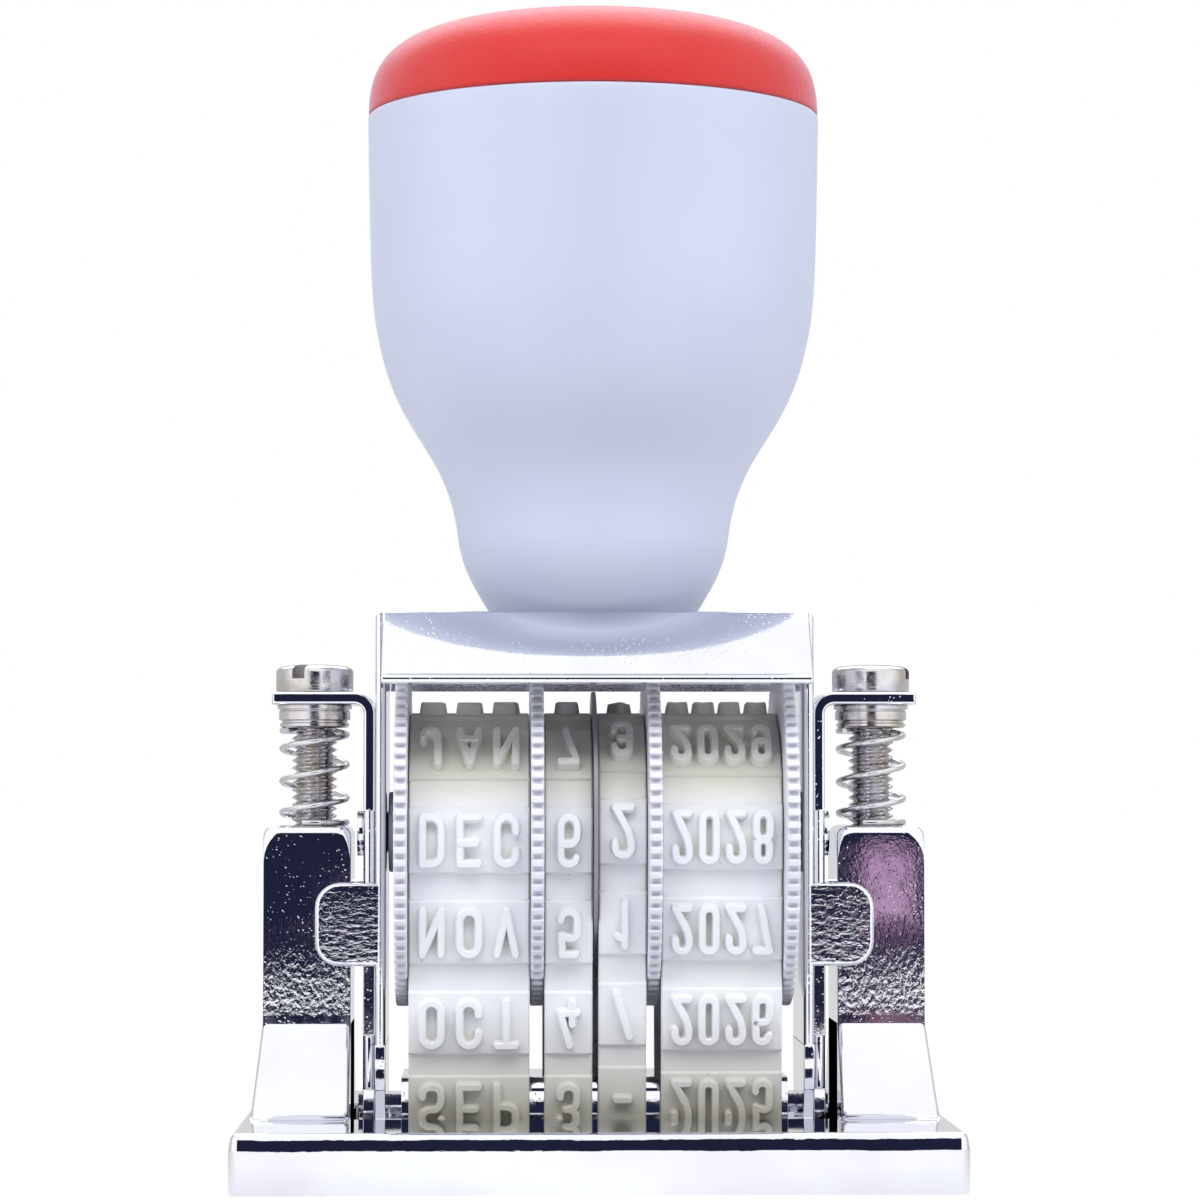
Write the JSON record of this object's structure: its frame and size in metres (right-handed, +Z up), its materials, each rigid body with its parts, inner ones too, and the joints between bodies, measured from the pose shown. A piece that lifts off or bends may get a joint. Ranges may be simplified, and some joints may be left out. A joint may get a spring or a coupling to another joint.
{
  "type": "band date stamp",
  "caption": "Hand-held date stamp: chromed sprung frame, thumbwheels turning rubber type bands, round plastic handle pressed down to print.",
  "frame": {"origin": "middle of the base's underside, on the table", "axes": "+Z up along the handle, +X to the user's right along the axle, -Y towards the user"},
  "size_m": [0.052, 0.042, 0.0864],
  "materials": {
    "chrome": "bright chrome plate, slightly pitted on the casting",
    "nickel_steel": "turned, nickel plated",
    "spring_steel": "drawn wire, nickel plated",
    "wheel_plastic": "moulded, satin",
    "band_rubber": "moulded, matte",
    "handle_plastic": "moulded, glossy",
    "cap_plastic": "moulded, fine satin texture",
    "insert_brass": "turned"
  },
  "bodies": {
    "base": {"base_frame": "chrome", "return_spring_left": "spring_steel", "return_spring_right": "spring_steel"},
    "screw_left": {"adjusting_screw_left": "nickel_steel"},
    "screw_right": {"adjusting_screw_right": "nickel_steel"},
    "carriage": {"yoke": "chrome", "ear_plate_left": "chrome", "ear_plate_right": "chrome", "spring_seat_left": "nickel_steel", "spring_seat_right": "nickel_steel", "wheel_axle": "nickel_steel", "day_separator": "wheel_plastic", "month_band": "band_rubber", "day_units_band": "band_rubber", "day_tens_band": "band_rubber", "year_band": "band_rubber", "type_bridge": "chrome", "handle_body": "handle_plastic", "handle_cap": "cap_plastic", "handle_insert": "insert_brass", "handle_screw": "nickel_steel", "handle_lock_washer": "spring_steel"},
    "month": {"month_wheel": "wheel_plastic"},
    "day_units": {"day_units_wheel": "wheel_plastic"},
    "day_tens": {"day_tens_wheel": "wheel_plastic"},
    "year": {"year_wheel": "wheel_plastic"}
  },
  "joints": [
    {"name": "press", "type": "slide", "parent": "base", "child": "carriage", "axis": [0, 0, -1], "range_m": [0, 0.004], "stiffness_N_per_m": 1500, "springref_m": -0.004, "deforming": ["return_spring_left", "return_spring_right"]},
    {"name": "screw_left_turn", "type": "hinge", "parent": "base", "child": "screw_left", "pos_m": [-0.0209, 0, 0.03], "axis": [0, 0, 1], "range_deg": [-180, 180]},
    {"name": "screw_right_turn", "type": "hinge", "parent": "base", "child": "screw_right", "pos_m": [0.0209, 0, 0.03], "axis": [0, 0, 1], "range_deg": [-180, 180]},
    {"name": "month_turn", "type": "hinge", "parent": "carriage", "child": "month", "pos_m": [0, 0, 0.0252], "axis": [1, 0, 0], "continuous": true},
    {"name": "day_units_turn", "type": "hinge", "parent": "carriage", "child": "day_units", "pos_m": [0, 0, 0.0252], "axis": [1, 0, 0], "continuous": true},
    {"name": "day_tens_turn", "type": "hinge", "parent": "carriage", "child": "day_tens", "pos_m": [0, 0, 0.0252], "axis": [1, 0, 0], "continuous": true},
    {"name": "year_turn", "type": "hinge", "parent": "carriage", "child": "year", "pos_m": [0, 0, 0.0252], "axis": [1, 0, 0], "continuous": true}
  ]
}
